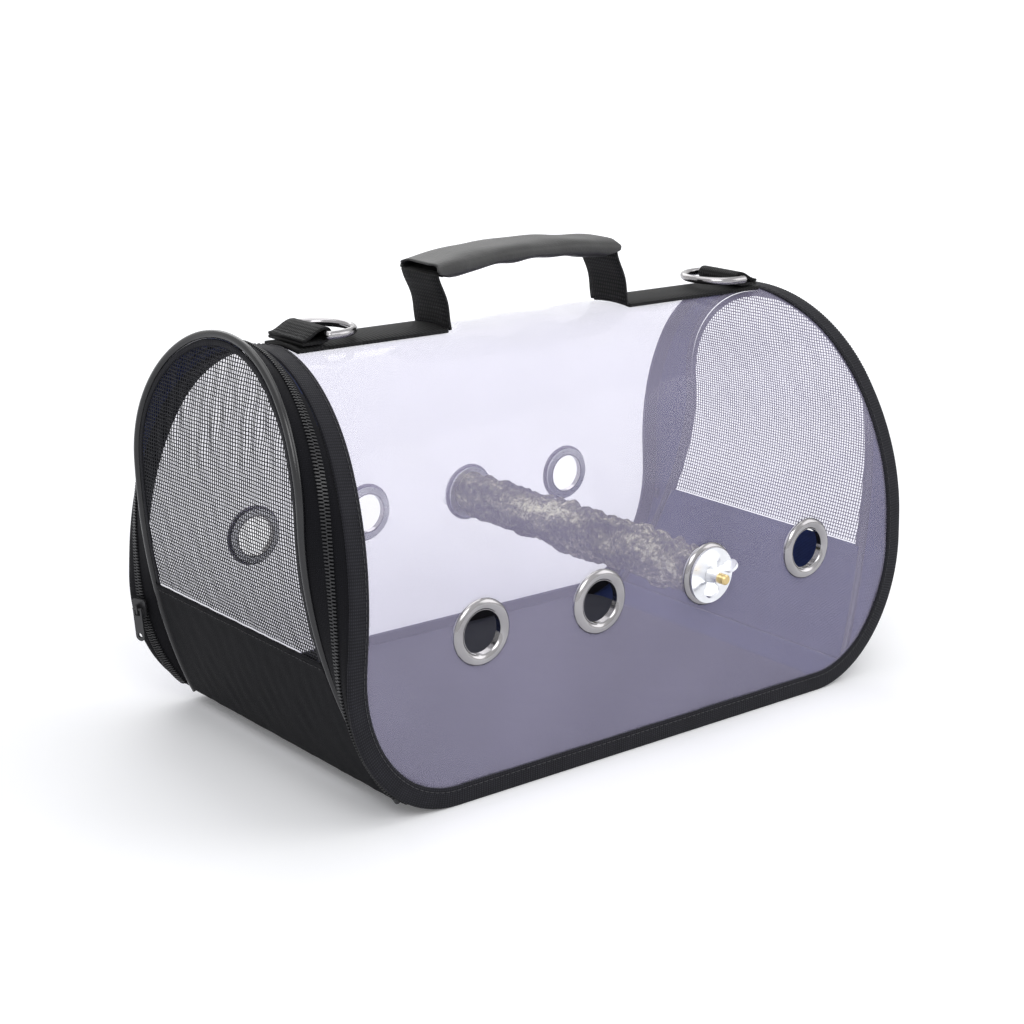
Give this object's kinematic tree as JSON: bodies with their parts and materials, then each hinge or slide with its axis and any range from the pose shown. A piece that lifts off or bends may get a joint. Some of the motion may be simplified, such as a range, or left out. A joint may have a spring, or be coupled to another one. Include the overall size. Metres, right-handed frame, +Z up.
{
  "type": "bird travel carrier",
  "caption": "Soft arched carrier for a small bird: clear cover, zip-open mesh end doors, a wooden perch through eyelets, D-rings and a webbing handle.",
  "frame": {"origin": "middle of the flat base, on the ground", "axes": "+X along the carrier towards its right end, -Y towards the front that the picture shows, +Z up"},
  "size_m": [0.428, 0.2488, 0.2722],
  "materials": {
    "clear_pvc": "clear and glossy",
    "binding_tape": "woven",
    "black_fabric": "woven",
    "net": "open net",
    "piping": "glossy",
    "zip_coil": "matte",
    "stiffener": "matte",
    "eyelet_plate": "polished",
    "zinc": "satin",
    "brass": "satin",
    "bark": "rough bark",
    "webbing": "woven",
    "sleeve": "fine grain",
    "slider_paint": "painted"
  },
  "bodies": {
    "shell": {"clear_cover": "clear_pvc", "cover_binding": "binding_tape", "base_fabric": "black_fabric", "base_board": "stiffener", "floor_lining": "black_fabric", "front_eyelets": "eyelet_plate", "back_eyelets": "eyelet_plate", "front_eyelet_washers": "zinc", "back_eyelet_washers": "zinc", "left_gusset": "black_fabric", "right_gusset": "black_fabric", "left_gusset_coil": "zip_coil", "right_gusset_coil": "zip_coil", "perch_branch": "bark", "front_perch_bolt": "brass", "back_perch_bolt": "brass", "left_ridge_strap": "webbing", "right_ridge_strap": "webbing", "left_ring_loop": "webbing", "right_ring_loop": "webbing"},
    "left_door": {"left_door_rim": "black_fabric", "left_door_coil": "zip_coil", "left_door_piping": "piping", "left_door_net": "net", "left_door_panel": "black_fabric"},
    "left_slider": {"left_zip_slider": "slider_paint"},
    "left_pull": {"left_zip_pull": "slider_paint"},
    "left_ring": {"left_d_ring": "eyelet_plate"},
    "right_door": {"right_door_rim": "black_fabric", "right_door_coil": "zip_coil", "right_door_piping": "piping", "right_door_net": "net", "right_door_panel": "black_fabric"},
    "right_slider": {"right_zip_slider": "slider_paint"},
    "right_pull": {"right_zip_pull": "slider_paint"},
    "right_ring": {"right_d_ring": "eyelet_plate"},
    "front_washer": {"front_perch_washer": "zinc"},
    "front_nut": {"front_wing_nut": "zinc"},
    "back_washer": {"back_perch_washer": "zinc"},
    "back_nut": {"back_wing_nut": "zinc"},
    "left_riser": {"left_riser": "webbing"},
    "grip": {"grip_webbing": "webbing", "grip_sleeve": "sleeve"},
    "right_riser": {"right_riser": "webbing"}
  },
  "joints": [
    {"name": "left_door_fold", "type": "hinge", "parent": "shell", "child": "left_door", "pos_m": [-0.16915, 0, 0.009], "axis": [0, -1, 0], "range_deg": [0, 60]},
    {"name": "left_slider_run", "type": "slide", "parent": "left_door", "child": "left_slider", "axis": [-0.1193, -0.0543, 0.9914], "range_m": [0, 0.02]},
    {"name": "left_pull_lift", "type": "hinge", "parent": "left_slider", "child": "left_pull", "pos_m": [-0.20613, 0.09825, 0.06653], "axis": [-0.3875, 0.9219, 0.0039], "range_deg": [0, 150]},
    {"name": "left_ring_flip", "type": "hinge", "parent": "shell", "child": "left_ring", "pos_m": [-0.152, 0, 0.2363], "axis": [0, -1, 0], "range_deg": [0, 140]},
    {"name": "right_door_fold", "type": "hinge", "parent": "shell", "child": "right_door", "pos_m": [0.16915, 0, 0.009], "axis": [0, 1, 0], "range_deg": [0, 60]},
    {"name": "right_slider_run", "type": "slide", "parent": "right_door", "child": "right_slider", "axis": [0.1193, -0.0543, 0.9914], "range_m": [0, 0.02]},
    {"name": "right_pull_lift", "type": "hinge", "parent": "right_slider", "child": "right_pull", "pos_m": [0.20613, 0.09825, 0.06653], "axis": [-0.3875, -0.9219, -0.0039], "range_deg": [0, 150]},
    {"name": "right_ring_flip", "type": "hinge", "parent": "shell", "child": "right_ring", "pos_m": [0.152, 0, 0.2363], "axis": [0, 1, 0], "range_deg": [0, 140]},
    {"name": "front_washer_travel", "type": "slide", "parent": "shell", "child": "front_washer", "axis": [0, -1, 0], "range_m": [0, 0.0042]},
    {"name": "front_nut_turn", "type": "hinge", "parent": "front_washer", "child": "front_nut", "pos_m": [0.0405, -0.1086, 0.0925], "axis": [0, -1, 0], "range_deg": [0, 1440]},
    {"name": "back_washer_travel", "type": "slide", "parent": "shell", "child": "back_washer", "axis": [0, 1, 0], "range_m": [0, 0.0042]},
    {"name": "back_nut_turn", "type": "hinge", "parent": "back_washer", "child": "back_nut", "pos_m": [0.0405, 0.1086, 0.0925], "axis": [0, 1, 0], "range_deg": [0, 1440]},
    {"name": "handle_lean", "type": "hinge", "parent": "shell", "child": "left_riser", "pos_m": [-0.07, 0, 0.2307], "axis": [0, 1, 0], "range_deg": [-27, 63]},
    {"name": "grip_level", "type": "hinge", "parent": "left_riser", "child": "grip", "pos_m": [-0.07927, 0, 0.25923], "axis": [0, 1, 0], "range_deg": [-64, 28]},
    {"name": "right_riser_fold", "type": "hinge", "parent": "grip", "child": "right_riser", "pos_m": [0.05073, 0, 0.25923], "axis": [0, 1, 0], "range_deg": [-28, 64]}
  ],
  "couplings": [
    {"joint": "grip_level", "follows": "handle_lean", "ratio": -1},
    {"joint": "right_riser_fold", "follows": "handle_lean", "ratio": 1},
    {"joint": "front_washer_travel", "follows": "front_nut_turn", "m_per_rad": 0.00015915},
    {"joint": "back_washer_travel", "follows": "back_nut_turn", "m_per_rad": 0.00015915}
  ]
}
